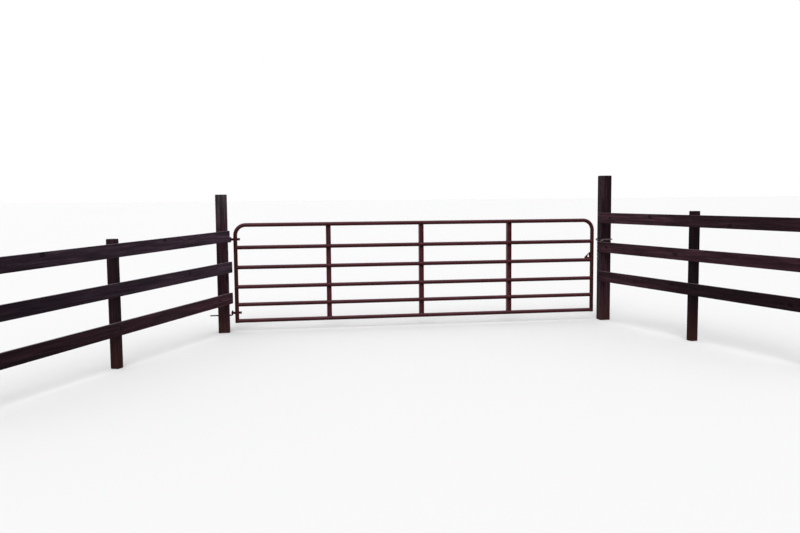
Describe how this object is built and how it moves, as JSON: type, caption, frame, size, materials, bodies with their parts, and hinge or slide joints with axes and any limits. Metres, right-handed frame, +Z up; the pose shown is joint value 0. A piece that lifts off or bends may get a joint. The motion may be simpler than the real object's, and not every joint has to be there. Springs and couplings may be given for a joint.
{
  "type": "tubular farm gate with posts and board fence wings",
  "caption": "Steel tube field gate hung between two timber posts, swinging into the field, with flared timber board fence wings on both sides of the entrance.",
  "frame": {"origin": "centre of the hinge post's foot face, at ground level", "axes": "+X along the closed gate to the latch post, +Y into the field, +Z up; the fence wings come forward along -Y"},
  "size_m": [7.8645, 4.1887, 1.959],
  "materials": {
    "gate_paint": "weathered dark red enamel, satin",
    "hinge_steel": "dark oxidised steel",
    "chain_steel": "dull galvanised",
    "post_wood": "rough, weathered, wet",
    "board_wood": "rough sawn, weathered, wet"
  },
  "bodies": {
    "posts_and_fence": {"hinge_post": "post_wood", "latch_post": "post_wood", "left_post_1": "post_wood", "left_post_2": "post_wood", "left_board_top": "board_wood", "left_board_middle": "board_wood", "left_board_bottom": "board_wood", "right_post_1": "post_wood", "right_post_2": "post_wood", "right_board_top": "board_wood", "right_board_middle": "board_wood", "right_board_bottom": "board_wood", "hinge_pin_top": "hinge_steel", "hinge_pin_bottom": "hinge_steel", "chain": "chain_steel"},
    "gate": {"gate_hoop": "gate_paint", "rail_2": "gate_paint", "rail_3": "gate_paint", "rail_4": "gate_paint", "rail_5": "gate_paint", "bottom_rail": "gate_paint", "brace_1": "gate_paint", "brace_2": "gate_paint", "brace_3": "gate_paint", "latch_plate": "gate_paint", "hinge_strap_top": "gate_paint", "hinge_strap_bottom": "gate_paint", "hinge_bolt_top": "hinge_steel", "hinge_bolt_bottom": "hinge_steel"}
  },
  "joints": [
    {"name": "gate_swing", "type": "hinge", "parent": "posts_and_fence", "child": "gate", "pos_m": [0.106, 0, 1.181], "axis": [0, 0, 1], "range_deg": [0, 90]}
  ]
}
